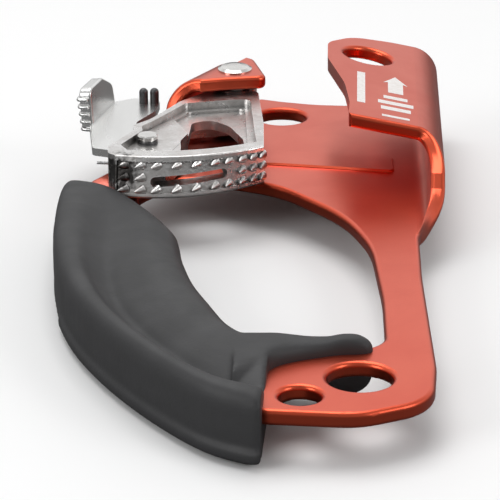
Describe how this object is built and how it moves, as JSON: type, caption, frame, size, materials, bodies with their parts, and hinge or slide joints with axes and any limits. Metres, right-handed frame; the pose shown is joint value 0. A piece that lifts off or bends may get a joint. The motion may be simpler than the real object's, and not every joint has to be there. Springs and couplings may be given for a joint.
{
  "type": "hand ascender",
  "caption": "Hand ascender for rope climbing: bent plate with a rope channel, spiked cam on a sprung pivot, thumb catch, rubber grip and carabiner holes; the cam is held open.",
  "frame": {"origin": "centre of the big lower hole, on the back face of the plate", "axes": "+Y up the rope (longest extent), +Z out of the front of the plate (shortest extent), +X towards the rope channel"},
  "size_m": [0.0926, 0.2033, 0.03],
  "materials": {
    "frame": "orange-red anodised aluminium, satin",
    "grip_front_shell": "black rubber, matte",
    "grip_back_shell": "black rubber, matte",
    "cam": "cast, satin",
    "cam_bush": "turned",
    "cam_spring": "spring wire",
    "pivot_rivet": "bright steel",
    "pivot_washer_back": "steel",
    "pivot_washer_front": "steel",
    "catch_lever": "stamped, satin",
    "catch_rivet": "bright steel",
    "catch_washer": "steel",
    "catch_spring": "spring wire",
    "spring_posts": "black oxide"
  },
  "bodies": {
    "frame": {"frame": "frame", "grip_front_shell": "grip_front_shell", "grip_back_shell": "grip_back_shell", "pivot_rivet": "pivot_rivet", "pivot_washer_back": "pivot_washer_back", "pivot_washer_front": "pivot_washer_front", "cam_spring": "cam_spring"},
    "cam": {"cam": "cam", "cam_bush": "cam_bush", "catch_rivet": "catch_rivet", "catch_washer": "catch_washer", "catch_spring": "catch_spring"},
    "catch": {"catch_lever": "catch_lever", "spring_posts": "spring_posts"}
  },
  "joints": [
    {"name": "cam_pivot", "type": "hinge", "parent": "frame", "child": "cam", "pos_m": [-0.0327, 0.1556, 0.0093], "axis": [0, 0, 1], "range_deg": [0, 60], "deforming": ["cam_spring"]},
    {"name": "catch_pivot", "type": "hinge", "parent": "cam", "child": "catch", "pos_m": [-0.0524, 0.1166, 0.008], "axis": [0, 0, 1], "range_deg": [0, 22], "stiffness_Nm_per_rad": 0.05, "springref_deg": -11.46, "deforming": ["catch_spring"]}
  ]
}
